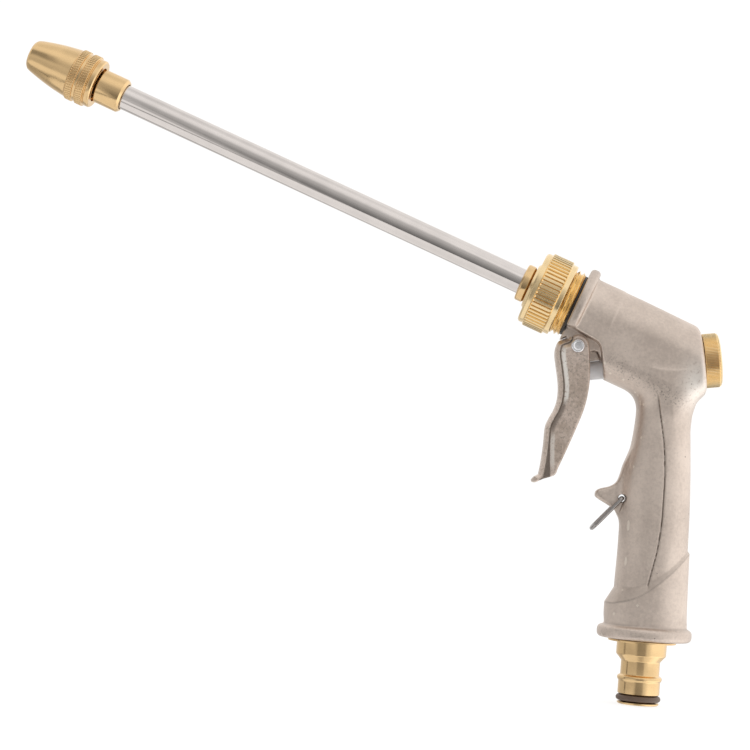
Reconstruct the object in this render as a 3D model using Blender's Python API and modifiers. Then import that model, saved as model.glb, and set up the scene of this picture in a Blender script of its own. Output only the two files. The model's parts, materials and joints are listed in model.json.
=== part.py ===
"""Hose spray gun: cast body with pistol grip, trigger valve, flow knob, catch and a screwed-on spray wand.

The part stands on its hose connector: +Z is up, -X is the spraying side and Y = 0 is the plane of symmetry.
Outlines and axes are drawn in millimetres from the centre of the connector's end face, and PLACE then sets
that point so that the origin lies on the floor below the middle of the overall length. Three axes carry the
turned pieces:
  INLET   vertical, through the centre of the connector's end face
  LANCE   from the middle of the body forwards and up, carries spigot, nut, wand and nozzle
  VALVE   from the same place rearwards and up, carries plunger, stem, spring and flow knob
Places along an axis are written as heights on that axis (its own +Z).
"""
import math

import bmesh
import bpy
from mathutils import Matrix, Vector

MM = 0.001

# ---------------------------------------------------------------- driving dimensions (millimetres)
MIDDLE_X = -116.97               # middle of the overall length, from the inlet axis
CLEAR = 0.3                      # gap between pieces that touch on the real object
LANCE_ORIGIN = (13.1, 132.7)     # x, z of the lance axis at its height 0
LANCE_TILT = 20.85               # degrees above the horizontal, towards -X
VALVE_ORIGIN = (13.1, 132.95)    # x, z of the valve axis at its height 0
VALVE_TILT = 9.1                 # degrees above the horizontal, towards +X

BARREL_R = 13.2                  # outside of the cast barrel
BEAD_R = 16.2                    # rolled rim at the barrel's mouth
BEAD_BACK, BEAD_FRONT = 47.3, 51.5
BODY_DEPTH = 21.0                # lance axis to the underside of the upper body
BODY_CORNER_R = 9.0              # rounding of that underside
REAR_FACE = 2.4                  # valve-axis height of the body's rear face
WALL = -36.3                     # valve-axis height of the body's front wall, behind the trigger
LEDGE = -8.6                     # off the lance axis, where the barrel is cut flat above the trigger

BASE_Z = 24.9                    # underside of the grip flange
FLANGE_TOP = 29.8
CUFF_RISE = 32.0                 # degrees, slope of the step that ends the cuff
PIVOT = (-32.9, 135.3)           # x, z of the trigger pin
PIVOT_R = 2.0
CATCH_HOLE = (-11.7, 78.3)       # x, z of the hole the wire catch swings in
CATCH_HOLE_R = 1.4
WIRE_R = 0.8
CATCH_REACH = 17.0               # hole to the outside of the catch's bow
CATCH_REST = 49.0                # degrees the catch hangs below -X
SPUR_HALF = 4.3                  # half thickness of the finger spur
LUG_HALF = 5.7                   # half thickness of the trigger lug
LIP_HALF = 4.3                   # half width of the tongue at the trigger's lower end, for the catch
CHEEK_HALF = 8.2                 # outer half width of the trigger
CHEEK_INNER = 6.0                # inner half width of the trigger channel

THREAD_R = 13.22                 # G3/4 male thread, outside
THREAD_DEPTH = 1.1
THREAD_PITCH = 1.814
THREADS_SHOWN = 3                # ring-shaped crests that the nut leaves in view
SHOULDER = 52.5                  # lance-axis height where the spigot's thread starts
SPIGOT_END = 61.5
NUT_R = 15.2
TUBE_R = 5.0
TUBE_WALL = 0.8
TUBE_BACK, TUBE_FRONT = 67.2, 254.0
PLUNGER_R = 3.6
STEM_R = 1.6
KNOB_R = 10.55

FINE, MEDIUM, COARSE = 36, 28, 18      # segments round a turned piece

# ---------------------------------------------------------------- scene set-up
for old in list(bpy.data.objects):
    bpy.data.objects.remove(old, do_unlink=True)

PARTS = bpy.data.collections.new("hose_spray_nozzle")
CUTTERS = bpy.data.collections.new("cutters")
bpy.context.scene.collection.children.link(PARTS)
bpy.context.scene.collection.children.link(CUTTERS)


def axis_frame(origin, direction):
    """Frame whose +Z runs along `direction` (x, z) and whose Y is the world's Y."""
    z_axis = Vector((direction[0], 0.0, direction[1])).normalized()
    y_axis = Vector((0.0, 1.0, 0.0))
    x_axis = y_axis.cross(z_axis)
    turn = Matrix((x_axis, y_axis, z_axis)).transposed().to_4x4()
    return Matrix.Translation((origin[0] * MM, 0.0, origin[1] * MM)) @ turn


def crosswise(place):
    """Frame whose +Z runs across the body through a point (x, z)."""
    return Matrix.Translation((place[0] * MM, 0, place[1] * MM)) @ Matrix.Rotation(math.pi / 2, 4, "X")


PLACE = Matrix.Translation((-MIDDLE_X * MM, 0.0, 0.0))
LANCE = axis_frame(LANCE_ORIGIN, (-math.cos(math.radians(LANCE_TILT)), math.sin(math.radians(LANCE_TILT))))
VALVE = axis_frame(VALVE_ORIGIN, (math.cos(math.radians(VALVE_TILT)), math.sin(math.radians(VALVE_TILT))))
INLET = Matrix.Identity(4)


def material(name, colour, roughness, metallic):
    """A plain Principled finish."""
    made = bpy.data.materials.new(name)
    made.use_nodes = True
    shader = made.node_tree.nodes["Principled BSDF"]
    shader.inputs["Base Color"].default_value = (*colour, 1.0)
    shader.inputs["Roughness"].default_value = roughness
    shader.inputs["Metallic"].default_value = metallic
    made.diffuse_color = (*colour, 1.0)
    return made


ZINC = dict(colour=(0.52, 0.46, 0.42), roughness=0.42, metallic=0.85)
DARK_ZINC = dict(colour=(0.30, 0.24, 0.21), roughness=0.5, metallic=0.8)
BRASS = dict(colour=(0.72, 0.52, 0.24), roughness=0.28, metallic=1.0)
STEEL = dict(colour=(0.66, 0.64, 0.63), roughness=0.2, metallic=1.0)
RUBBER = dict(colour=(0.03, 0.025, 0.022), roughness=0.6, metallic=0.0)
NYLON = dict(colour=(0.85, 0.85, 0.87), roughness=0.4, metallic=0.0)
ALUMINIUM = dict(colour=(0.75, 0.75, 0.76), roughness=0.3, metallic=1.0)


def finish(obj, look):
    """Give a part its own material and put it among the parts."""
    obj.data.materials.clear()
    obj.data.materials.append(material(obj.name + "_finish", **look))
    for collection in list(obj.users_collection):
        collection.objects.unlink(obj)
    PARTS.objects.link(obj)
    return obj


def as_guide(obj):
    """Keep an object as a cutter or a joining shape that isn't a part itself."""
    for collection in list(obj.users_collection):
        collection.objects.unlink(obj)
    CUTTERS.objects.link(obj)
    obj.hide_render = True
    obj.display_type = "WIRE"
    return obj


def new_object(name, data, frame):
    """Object placed by a frame that is given from the centre of the connector's end face."""
    obj = bpy.data.objects.new(name, data)
    obj.matrix_world = PLACE @ frame
    bpy.context.scene.collection.objects.link(obj)
    return obj


def turned(name, outside, frame, segments=MEDIUM, bore=None):
    """Turned piece: (radius, height) points up the outside and, for a ring, up the bore."""
    points = list(reversed(outside)) + (list(bore) if bore else [])
    profile = bmesh.new()
    verts = [profile.verts.new((r * MM, 0.0, h * MM)) for r, h in points]
    pairs = list(zip(verts, verts[1:]))
    if bore:
        pairs.append((verts[-1], verts[0]))
    for pair in pairs:
        profile.edges.new(pair)
    mesh = bpy.data.meshes.new(name)
    profile.to_mesh(mesh)
    profile.free()
    obj = new_object(name, mesh, frame)
    screw = obj.modifiers.new("turn", "SCREW")
    screw.axis = "Z"
    screw.angle = math.tau
    screw.steps = screw.render_steps = segments
    screw.use_merge_vertices = True
    screw.merge_threshold = 0.00001
    return obj


def rod(name, radius, low, high, frame, segments=COARSE):
    """Plain cylinder between two heights of an axis."""
    return turned(name, [(0, low), (radius, low), (radius, high), (0, high)], frame, segments)


def ring_section(mid_radius, height, radius, points=6):
    """Round cross-section of an O-ring, split into an outer and an inner half."""
    angles = [math.pi * (i + 0.5) / (points // 2) - math.pi / 2 for i in range(points // 2)]
    outside = [(mid_radius + radius * math.cos(a), height + radius * math.sin(a)) for a in angles]
    inside = [(mid_radius - radius * math.cos(a), height + radius * math.sin(a)) for a in angles]
    return outside, inside


def o_ring(name, mid_radius, height, radius, frame, segments=COARSE):
    outside, inside = ring_section(mid_radius, height, radius)
    return finish(turned(name, outside, frame, segments, bore=inside), RUBBER)


def washer(name, bore_radius, radius, low, high, frame, look, segments=COARSE):
    """Flat ring or sleeve between two heights of an axis."""
    ring = turned(name, [(radius, low), (radius, high)], frame, segments,
                  bore=[(bore_radius, low), (bore_radius, high)])
    return finish(ring, look)


def plate(name, outline, half_thickness, frame=None, bevel=0.0):
    """Flat outline of (x, z) points, thickened evenly to both sides of Y = 0."""
    curve = bpy.data.curves.new(name, "CURVE")
    curve.dimensions = "2D"
    curve.fill_mode = "BOTH"
    curve.extrude = half_thickness * MM
    spline = curve.splines.new("POLY")
    spline.points.add(len(outline) - 1)
    for point, (x, z) in zip(spline.points, outline):
        point.co = (x * MM, z * MM, 0.0, 1.0)
    spline.use_cyclic_u = True
    upright = Matrix.Rotation(math.pi / 2, 4, "X") if frame is None else frame
    drawn = new_object(name + "_outline", curve, upright)
    bpy.context.view_layer.update()
    mesh = bpy.data.meshes.new_from_object(drawn.evaluated_get(bpy.context.evaluated_depsgraph_get()))
    bpy.data.objects.remove(drawn)
    weld = bmesh.new()
    weld.from_mesh(mesh)
    bmesh.ops.remove_doubles(weld, verts=weld.verts, dist=0.00001)
    weld.to_mesh(mesh)
    weld.free()
    obj = new_object(name, mesh, upright)
    if bevel:
        rounding = obj.modifiers.new("rounding", "BEVEL")
        rounding.width = bevel * MM
        rounding.segments = 2
        rounding.angle_limit = math.radians(50)
    return obj


def boolean(obj, operation, others):
    for other in others:
        step = obj.modifiers.new(other.name, "BOOLEAN")
        step.operation = operation
        step.object = as_guide(other)
    return obj


def arc(centre, radius, start, end, steps):
    """Points on a circle from start to end degrees, both included."""
    angles = [math.radians(start + (end - start) * i / steps) for i in range(steps + 1)]
    return [(centre[0] + radius * math.cos(a), centre[1] + radius * math.sin(a)) for a in angles]


def on_lance(height, off_axis=0.0):
    """World (x, z) of a point on the lance axis, or above it."""
    tilt = math.radians(LANCE_TILT)
    return (LANCE_ORIGIN[0] - height * math.cos(tilt) + off_axis * math.sin(tilt),
            LANCE_ORIGIN[1] + height * math.sin(tilt) + off_axis * math.cos(tilt))


def on_valve(height, off_axis=0.0):
    """World (x, z) of a point on the valve axis, or above it."""
    tilt = math.radians(VALVE_TILT)
    return (VALVE_ORIGIN[0] + height * math.cos(tilt) - off_axis * math.sin(tilt),
            VALVE_ORIGIN[1] + height * math.sin(tilt) + off_axis * math.cos(tilt))


# ---------------------------------------------------------------- cast body
# Grip sections: height, front x, back x, half width.
GRIP_STATIONS = [
    (FLANGE_TOP - 1.0, -14.9, 16.3, 13.7), (39.4, -14.9, 16.1, 13.3), (44.4, -12.2, 15.8, 12.8),
    (59.4, -11.9, 15.1, 12.3), (74.2, -12.0, 14.6, 12.3), (87.3, -12.0, 14.0, 12.3),
    (99.0, -9.7, 13.2, 11.9), (108.5, -8.7, 12.5, 11.3), (115.6, -8.6, 12.3, 10.8), (124.0, -8.8, 12.0, 10.5)]
GRIP_SQUARENESS = 2.5            # exponent of the rounded sections: 2 is an ellipse


def loft(name, stations, segments=28, squareness=GRIP_SQUARENESS):
    """Closed loft through rounded sections of (height, front x, back x, half width)."""
    work = bmesh.new()
    rings = []
    for height, front, back, half in stations:
        middle, reach = (front + back) / 2, (back - front) / 2
        ring = []
        for i in range(segments):
            a = math.tau * i / segments
            c, s = math.cos(a), math.sin(a)
            x = middle + reach * math.copysign(abs(c) ** (2 / squareness), c)
            y = half * math.copysign(abs(s) ** (2 / squareness), s)
            ring.append(work.verts.new((x * MM, y * MM, height * MM)))
        rings.append(ring)
    for low, high in zip(rings, rings[1:]):
        for i in range(segments):
            j = (i + 1) % segments
            work.faces.new((low[i], low[j], high[j], high[i]))
    work.faces.new(list(reversed(rings[0])))
    work.faces.new(rings[-1])
    mesh = bpy.data.meshes.new(name)
    work.to_mesh(mesh)
    work.free()
    return new_object(name, mesh, Matrix.Identity(4))


def upper_body():
    """Deep slot-shaped section running along the lance axis, cut square to the valve axis behind."""
    half, corner = BARREL_R - 0.2, BODY_CORNER_R
    section = arc((0, 0), half, 0, 180, 12)
    section += arc((-(half - corner), -(BODY_DEPTH - corner)), corner, 180, 270, 5)
    section += arc((half - corner, -(BODY_DEPTH - corner)), corner, 270, 360, 5)
    # The section is drawn with its x across the body and its y above the lance axis.
    across = Matrix.Rotation(-math.pi / 2, 4, "Z")
    low, high = -14.0, 47.8
    frame = LANCE @ across @ Matrix.Translation((0, 0, (low + high) / 2 * MM))
    body = plate("body_casting", section, (high - low) / 2, frame)
    return body


def body_joining_shapes():
    barrel = turned("barrel", [(0, 24.3), (BARREL_R, 24.3), (BARREL_R, BEAD_BACK), (BEAD_R - 1.2, BEAD_BACK + 0.1),
                               (BEAD_R, BEAD_BACK + 1.4), (BEAD_R, BEAD_FRONT - 1.6),
                               (BEAD_R - 1.6, BEAD_FRONT), (0, BEAD_FRONT)], LANCE, FINE)
    grip = loft("grip", GRIP_STATIONS)
    flange = loft("flange", [(BASE_Z, -16.6, 17.7, 15.6), (BASE_Z + 1.0, -17.6, 18.7, 16.6),
                             (FLANGE_TOP - 0.8, -17.6, 18.7, 16.6), (FLANGE_TOP, -17.0, 18.1, 16.0)],
                  squareness=2.15)
    cuff = loft("cuff", [(FLANGE_TOP - 1.5, -15.5, 16.7, 14.3), (38.0, -15.5, 16.6, 14.1),
                         (61.0, -14.9, 15.8, 13.0)])
    slope = math.radians(CUFF_RISE)
    above = Matrix.Translation((1.5 * MM, 0, 45.3 * MM)) @ Matrix.Rotation(-slope, 4, "Y")
    top = plate("cuff_top", [(-60, -60), (60, -60), (60, 60), (-60, 60)], 20,
                above @ Matrix.Translation((0, 0, 20 * MM)))
    boolean(cuff, "DIFFERENCE", [top])
    spur = plate("spur", [(-8.0, 70.6), (-12.7, 72.2), (-14.7, 74.1), (-21.1, 77.6), (-22.0, 78.8), (-21.8, 80.5),
                          (-20.1, 81.5), (-16.6, 82.6), (-14.2, 84.4), (-12.7, 87.3), (-11.5, 91.5),
                          (-8.0, 92.0)], SPUR_HALF, bevel=0.8)
    lug_nose = arc(PIVOT, 3.6, 164, 300, 8)
    lug = plate("lug", [on_lance(49.0, -6.0), (-39.2, 140.4), (-40.2, 137.6), (-37.6, 138.8)] + lug_nose
                + [(-28.6, 133.2), (-26.9, 134.1), (-25.0, 133.6), (-23.7, 130.2), (-17.5, 130.0),
                   on_lance(26.0, -4.0)], LUG_HALF)
    rib = plate("rib", [(-27.4, 135.0), (-29.4, 132.0), on_valve(-43.0, PLUNGER_R + 0.6),
                        on_valve(-34.0, PLUNGER_R + 0.6), (-19.0, 137.0)], 1.8)
    return [barrel, grip, flange, cuff, spur, lug, rib]


def body_cutters():
    """Space in front of the body, then the waterways from the inlet to the outlet."""
    behind = plate("behind", [on_valve(REAR_FACE, -40), on_valve(40, -40), on_valve(40, 40), on_valve(REAR_FACE, 40)],
                   30)
    lance_bore = turned("lance_bore", [(0, 22.0), (5.5, 22.0), (5.5, 40.0), (7.9, 40.0), (7.9, 60.0), (0, 60.0)],
                        LANCE, MEDIUM)
    gland = PLUNGER_R + CLEAR
    valve_bore = turned("valve_bore", [(0, -50.0), (gland, -50.0), (gland, -31.4), (5.3, -31.4), (5.3, -29.2),
                                       (gland, -29.2), (gland, -27.0), (5.0, -27.0), (5.0, -19.6), (7.0, -19.6),
                                       (7.0, -5.6), (8.5, -5.6), (8.5, 20.0), (0, 20.0)], VALVE, MEDIUM)
    start, end = Vector(on_lance(25.5)), Vector(on_valve(-23.2))
    port = rod("port", 3.3, 0.0, (end - start).length, axis_frame(start, end - start))
    riser = turned("riser", [(0, 10.0), (10.5, 10.0), (10.5, 39.2), (5.0, 39.2), (5.0, 129.5), (0, 129.5)],
                   INLET, MEDIUM)
    pin_hole = rod("pin_hole", PIVOT_R + CLEAR, -20, 20, crosswise(PIVOT))
    catch_hole = rod("catch_hole", CATCH_HOLE_R, -20, 20, crosswise(CATCH_HOLE))
    return [behind, valve_bore, lance_bore, port, riser, pin_hole, catch_hole]


def under_heel():
    """Cutter behind the grip: the body's underside steps up there to a chamfered heel."""
    return plate("under_heel", [(10.6, 60.0), (10.6, 112.5), (13.1, 117.3), (17.3, 120.4), (24.0, 121.2),
                                (60.0, 121.2), (60.0, 60.0)], 25)


def trigger_space():
    """Cutter that frees the trigger: below the barrel's ledge and in front of the wall."""
    outline = [on_valve(WALL, -40.0), on_valve(WALL, -8.0), on_valve(WALL, 0.0), (-24.4, 135.2), (-25.8, 137.3),
               (-27.8, 138.4), on_lance(48.0, LEDGE), on_lance(70.0, LEDGE), (-80.0, 90.0)]
    return plate("trigger_space", outline, 30)


def make_body():
    body = upper_body()
    shapes = body_joining_shapes()
    barrel, lug_and_rib = shapes[0], [s for s in shapes if s.name in ("lug", "rib")]
    others = [s for s in shapes if s is not barrel and s not in lug_and_rib]
    boolean(body, "UNION", [barrel])
    boolean(body, "DIFFERENCE", [trigger_space(), under_heel()])
    boolean(body, "UNION", lug_and_rib + others)
    boolean(body, "DIFFERENCE", body_cutters())
    return finish(body, ZINC)


# ---------------------------------------------------------------- inlet
def make_inlet():
    """Quick-connect tail with its O-ring; its shank sits in the grip's socket against a washer."""
    seat = BASE_Z - CLEAR
    outside = [(7.6, 0.0), (8.0, 0.3), (8.0, 0.9), (6.0, 1.0), (6.0, 3.9), (8.05, 4.0), (8.05, 8.9), (8.6, 9.6),
               (8.6, 10.4), (8.3, 10.9), (7.5, 11.3), (7.5, 16.6), (9.6, 19.0), (9.6, 23.8), (13.1, 23.8),
               (13.1, seat), (10.2, seat), (10.2, 36.6)]
    finish(turned("hose_connector", outside, INLET, bore=[(4.9, 0.0), (4.9, 36.6)]), BRASS)
    o_ring("connector_oring", 7.45, 2.45, 1.15, INLET, MEDIUM)
    washer("inlet_washer", 5.4, 10.2, 36.9, 38.9, INLET, RUBBER)


# ---------------------------------------------------------------- outlet spigot and wand union
def make_spigot():
    """Threaded nipple for the union nut, with a gasket between its shoulder and the barrel."""
    outside = [(7.6, 40.5), (7.6, SHOULDER)]
    height = SHOULDER
    for _ in range(THREADS_SHOWN):
        outside += [(THREAD_R - THREAD_DEPTH, height), (THREAD_R, height + THREAD_PITCH / 2)]
        height += THREAD_PITCH
    outside += [(THREAD_R - THREAD_DEPTH, height), (THREAD_R - THREAD_DEPTH, SPIGOT_END)]
    finish(turned("outlet_spigot", outside, LANCE, FINE, bore=[(5.5, 40.5), (5.5, SPIGOT_END)]), BRASS)
    washer("spigot_gasket", 7.9, 13.0, BEAD_FRONT + 0.25, SHOULDER - 0.25, LANCE, RUBBER, MEDIUM)


def make_union():
    """Union nut, its slip ring, the sealing washer, and the ferrule that carries the tube."""
    band = NUT_R - 0.75
    inner = 13.7
    outside = [(band, 56.5), (band, 58.5), (NUT_R, 58.8), (NUT_R, 67.1), (band, 67.4), (band, 68.9),
               (band - 0.6, 69.6), (9.4, 69.6), (8.4, 70.6)]
    finish(turned("collar_nut", outside, LANCE, FINE, bore=[(inner, 56.5), (inner, 66.8), (7.8, 66.8), (7.8, 70.6)]),
           BRASS)
    washer("slip_ring", 8.2, 13.0, 65.8, 66.5, LANCE, STEEL, MEDIUM)
    washer("union_washer", 6.6, 12.0, SPIGOT_END + CLEAR, 63.6, LANCE, RUBBER)
    socket = TUBE_R + CLEAR
    outside = [(12.6, 63.9), (12.6, 65.5), (7.4, 65.5), (7.4, 69.9), (6.7, 70.2), (6.7, 70.9), (7.4, 71.3),
               (7.4, 73.8), (6.9, 74.3)]
    bore = [(4.2, 63.9), (4.2, TUBE_BACK - CLEAR), (socket, TUBE_BACK - CLEAR), (socket, 74.3)]
    finish(turned("wand_ferrule", outside, LANCE, bore=bore), BRASS)
    washer("wand_tube", TUBE_R - TUBE_WALL, TUBE_R, TUBE_BACK, TUBE_FRONT, LANCE, STEEL, MEDIUM)


# ---------------------------------------------------------------- nozzle head
def make_nozzle():
    """Stem with a pintle on the tube's end, and the sleeve that screws along it."""
    socket = TUBE_R + CLEAR
    outside = [(6.0, 246.6), (6.9, 247.4), (6.9, 257.0), (5.5, 257.3), (5.5, 262.7), (4.5, 262.8), (4.5, 264.4),
               (5.5, 264.5), (5.5, 266.0), (3.0, 266.0), (3.0, 274.6), (3.9, 276.6), (3.9, 278.6), (1.5, 283.4),
               (1.5, 285.4), (0, 285.4)]
    bore = [(socket, 246.6), (socket, TUBE_FRONT + CLEAR), (2.0, TUBE_FRONT + CLEAR), (2.0, 273.6), (0, 273.6)]
    stem = turned("nozzle_stem", bore[::-1] + outside, LANCE, COARSE)
    cross_hole = rod("cross_hole", 1.1, -8, 8, LANCE @ Matrix.Translation((0, 0, 272.0 * MM))
                     @ Matrix.Rotation(math.pi / 2, 4, "X"), 10)
    finish(boolean(stem, "DIFFERENCE", [cross_hole]), BRASS)

    band, knurl = 9.75, 10.45
    outside = [(9.4, 258.0), (band, 258.4), (band, 260.9), (knurl, 261.2), (knurl, 264.2), (band, 264.6),
               (band, 265.4), (knurl, 265.7), (knurl, 268.1), (9.9, 268.5), (9.65, 270.5), (8.95, 275.2),
               (7.95, 280.0), (6.8, 284.6), (6.2, 286.9), (5.6, 287.4)]
    bore = [(8.6, 258.0), (7.9, 260.0), (5.95, 260.0), (5.95, 269.4), (6.6, 270.6), (6.0, 277.0), (2.4, 284.4),
            (2.4, 287.4)]
    finish(turned("nozzle_sleeve", outside, LANCE, MEDIUM, bore=bore), BRASS)
    o_ring("nozzle_oring", 5.2, 263.6, 0.5, LANCE)
    washer("stop_ring", 3.3, 5.6, 268.7, 269.2, LANCE, STEEL)


# ---------------------------------------------------------------- valve and flow knob
def make_valve():
    """Everything on the valve axis that the trigger pushes, the seat it opens and the return spring."""
    grip_hole = STEM_R + CLEAR
    dome = [(0, -51.0), (1.4, -50.8), (2.6, -50.1), (PLUNGER_R, -48.9)]
    outside = dome + [(PLUNGER_R, -24.5), (grip_hole, -24.5), (grip_hole, -31.0), (0, -31.0)]
    finish(turned("push_plunger", outside, VALVE, COARSE), NYLON)
    o_ring("gland_oring", 4.55, -30.3, 0.6, VALVE)
    outside = [(0, -30.6), (STEM_R, -30.6), (STEM_R, -18.4), (3.2, -17.6), (3.2, -16.6), (STEM_R, -16.5),
               (STEM_R, 0.0), (0, 0.0)]
    finish(turned("valve_stem", outside, VALVE, COARSE), BRASS)
    washer("valve_seat", 4.2, 6.7, -19.3, -16.6, VALVE, BRASS)
    washer("valve_disc", grip_hole, 5.6, -16.2, -14.4, VALVE, RUBBER)
    outside = [(5.4, -14.1), (5.4, -12.9), (2.8, -12.9), (2.8, -10.6)]
    finish(turned("disc_retainer", outside, VALVE, COARSE, bore=[(grip_hole, -14.1), (grip_hole, -10.6)]), BRASS)
    make_spring()
    washer("spring_seat", 2.2, 4.2, 0.2, 1.0, VALVE, STEEL)


def make_spring(mean_radius=3.7, wire=0.4, low=-12.4, high=-0.4, turns=5, per_turn=8):
    """Compression spring between the disc retainer and the spring seat."""
    curve = bpy.data.curves.new("valve_spring", "CURVE")
    curve.dimensions = "3D"
    curve.bevel_depth = wire * MM
    curve.bevel_resolution = 0
    curve.use_fill_caps = True
    spline = curve.splines.new("POLY")
    count = turns * per_turn
    spline.points.add(count)
    for i, point in enumerate(spline.points):
        a = math.tau * i / per_turn
        height = low + (high - low) * i / count
        point.co = (mean_radius * math.cos(a) * MM, mean_radius * math.sin(a) * MM, height * MM, 1.0)
    finish(new_object("valve_spring", curve, VALVE), STEEL)


def make_flow_knob():
    """Knurled cap whose plug closes the valve bore and backs the spring."""
    seat = REAR_FACE + CLEAR
    pocket = [(0, 7.2), (2.4, 7.2), (2.4, 1.3), (4.7, 1.3), (4.7, -5.2)]
    outside = [(8.2, -5.2), (8.2, -3.6), (6.9, -3.5), (6.9, -1.3), (8.2, -1.2), (8.2, seat), (KNOB_R, seat),
               (KNOB_R, 7.9), (KNOB_R - 0.5, 8.7), (KNOB_R - 1.4, 9.1), (4.0, 9.4), (0, 9.4)]
    finish(turned("flow_knob", pocket + outside, VALVE, FINE), BRASS)
    o_ring("knob_oring", 7.6, -2.4, 0.6, VALVE)


# ---------------------------------------------------------------- trigger, pin and catch
def make_trigger():
    front = [(-40.2, 136.9), (-41.3, 135.0), (-41.6, 131.8), (-40.9, 127.9), (-40.1, 124.1), (-39.3, 119.1),
             (-39.4, 114.2), (-40.4, 110.4), (-42.0, 107.0), (-43.2, 103.4), (-43.4, 96.6), (-43.9, 89.7),
             (-44.5, 85.1), (-46.2, 84.0), (-47.2, 82.6), (-46.6, 81.8), (-45.8, 81.7)]
    back = [(-42.4, 83.4), (-38.8, 84.8), (-37.7, 86.0), (-37.1, 88.0), (-34.5, 94.8), (-31.3, 103.7),
            (-29.0, 110.8), (-27.9, 116.7), (-27.5, 122.6), (-27.8, 128.3), (-28.3, 133.0), (-28.9, 136.4)]
    eye = arc(PIVOT, 4.2, 20, 125, 6)
    outline = front + back + eye + [(-37.4, 138.2)]
    trigger = plate("trigger_lever", outline, CHEEK_HALF, bevel=0.6)
    web = 2.3
    inner = [(x + web, z) for x, z in front[1:12]]
    channel = [(-37.9, 142.0)] + inner + [(-42.2, 86.6), (-37.0, 82.0), (-15.0, 94.0), (-15.0, 142.0)]
    hollow = plate("trigger_channel", channel, CHEEK_INNER)
    pin_hole = rod("trigger_pin_hole", PIVOT_R + CLEAR, -20, 20, crosswise(PIVOT))
    beside_lip = [plate("beside_lip", [(-41.0, 80.5), (-48.2, 85.5), (-50.3, 80.5), (-42.4, 77.3)], 3.0,
                        Matrix.Translation((0, side * (LIP_HALF + 3.0) * MM, 0)) @ Matrix.Rotation(math.pi / 2, 4, "X"))
                  for side in (-1, 1)]
    finish(boolean(trigger, "DIFFERENCE", [hollow, pin_hole] + beside_lip), DARK_ZINC)


def make_trigger_pin():
    """Rivet with a dimpled head on each side of the trigger."""
    inside, outside, dimple, head = CHEEK_HALF + CLEAR, CHEEK_HALF + 1.3, 0.4, 2.7
    half = [(PIVOT_R, inside), (head, inside), (head, outside - dimple), (head - 0.4, outside), (1.3, outside),
            (0, outside - dimple)]
    other_half = [(radius, -height) for radius, height in reversed(half)]
    finish(turned("trigger_pin", other_half + half, crosswise(PIVOT), COARSE), ALUMINIUM)


def make_catch():
    """Narrow wire loop hooked into the spur's hole from both sides; its bow closes round the trigger's lip."""
    leg_y = SPUR_HALF + CLEAR + WIRE_R
    reach = CATCH_REACH - WIRE_R
    path = [(0.0, 1.6), (0.0, leg_y - 0.9), (0.35, leg_y - 0.2), (1.2, leg_y), (reach - 3.2, leg_y),
            (reach - 0.9, leg_y - 0.9), (reach, leg_y - 2.8)]
    path += [(along, -side) for along, side in reversed(path)]
    drop = math.radians(CATCH_REST)
    curve = bpy.data.curves.new("wire_catch", "CURVE")
    curve.dimensions = "3D"
    curve.bevel_depth = WIRE_R * MM
    curve.bevel_resolution = 2
    curve.use_fill_caps = True
    spline = curve.splines.new("POLY")
    spline.points.add(len(path) - 1)
    for point, (along, side) in zip(spline.points, path):
        point.co = (-along * math.cos(drop) * MM, side * MM, -along * math.sin(drop) * MM, 1.0)
    place = Matrix.Translation((CATCH_HOLE[0] * MM, 0, CATCH_HOLE[1] * MM))
    finish(new_object("wire_catch", curve, place), STEEL)


# ---------------------------------------------------------------- moving groups
MOVING_GROUPS = {
    "trigger_hinge": (crosswise(PIVOT), ["trigger_lever"]),
    "valve_slide": (VALVE, ["push_plunger", "valve_stem", "valve_disc", "disc_retainer", "valve_spring"]),
    "catch_hinge": (crosswise(CATCH_HOLE), ["wire_catch"]),
    "knob_screw": (VALVE, ["flow_knob", "knob_oring", "spring_seat"]),
    "nut_screw": (LANCE, ["collar_nut", "slip_ring"]),
    "wand_swivel": (LANCE, ["wand_ferrule", "wand_tube", "nozzle_stem", "nozzle_oring", "union_washer"]),
    "sleeve_screw": (LANCE, ["nozzle_sleeve", "stop_ring"])}


def group_moving_parts():
    """Hang each moving group from an empty on its joint's axis."""
    for name, (frame, nodes) in MOVING_GROUPS.items():
        empty = new_object(name, None, frame)
        for node in nodes:
            piece = bpy.data.objects[node]
            piece.parent = empty
            piece.matrix_parent_inverse = (PLACE @ frame).inverted()


make_body()
make_inlet()
make_spigot()
make_union()
make_nozzle()
make_valve()
make_flow_knob()
make_trigger()
make_trigger_pin()
make_catch()
group_moving_parts()
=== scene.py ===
"""Looks of the hose spray gun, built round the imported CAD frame.

Cast pieces are sculpted as signed distance fields in millimetres and meshed with surface nets; turned pieces
are profiles swept round the lance, valve or inlet axis, with knurls and threads cut into the sweep.
"""
import itertools
import json
import math

import bmesh
import bpy
import numpy as np
from mathutils import Matrix, Vector


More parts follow.
